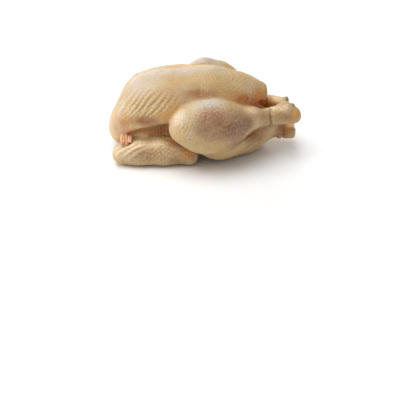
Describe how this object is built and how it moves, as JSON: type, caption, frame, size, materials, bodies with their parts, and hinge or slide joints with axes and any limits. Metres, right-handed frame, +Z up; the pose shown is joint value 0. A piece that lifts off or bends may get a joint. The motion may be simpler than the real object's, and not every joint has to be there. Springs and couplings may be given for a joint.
{
  "type": "whole raw chicken",
  "caption": "Oven-ready whole raw chicken lying on its back, breast up, with folded wings and legs, for kitchens, shops and handling tests.",
  "frame": {"origin": "middle of the bounding box's underside, on the plane that the bird's back and wings rest on", "axes": "+X from the neck end to the hocks and the tail, +Y to the bird's left side, +Z up, from its back to its breast"},
  "size_m": [0.2568, 0.191, 0.1137],
  "materials": {
    "skin": "moist, goose-pimpled pale yellow poultry skin",
    "flesh": "wet raw meat and cut tendon at the hocks, the neck skin and the vent"
  },
  "bodies": {
    "root": {"chicken": "skin"}
  },
  "joints": []
}
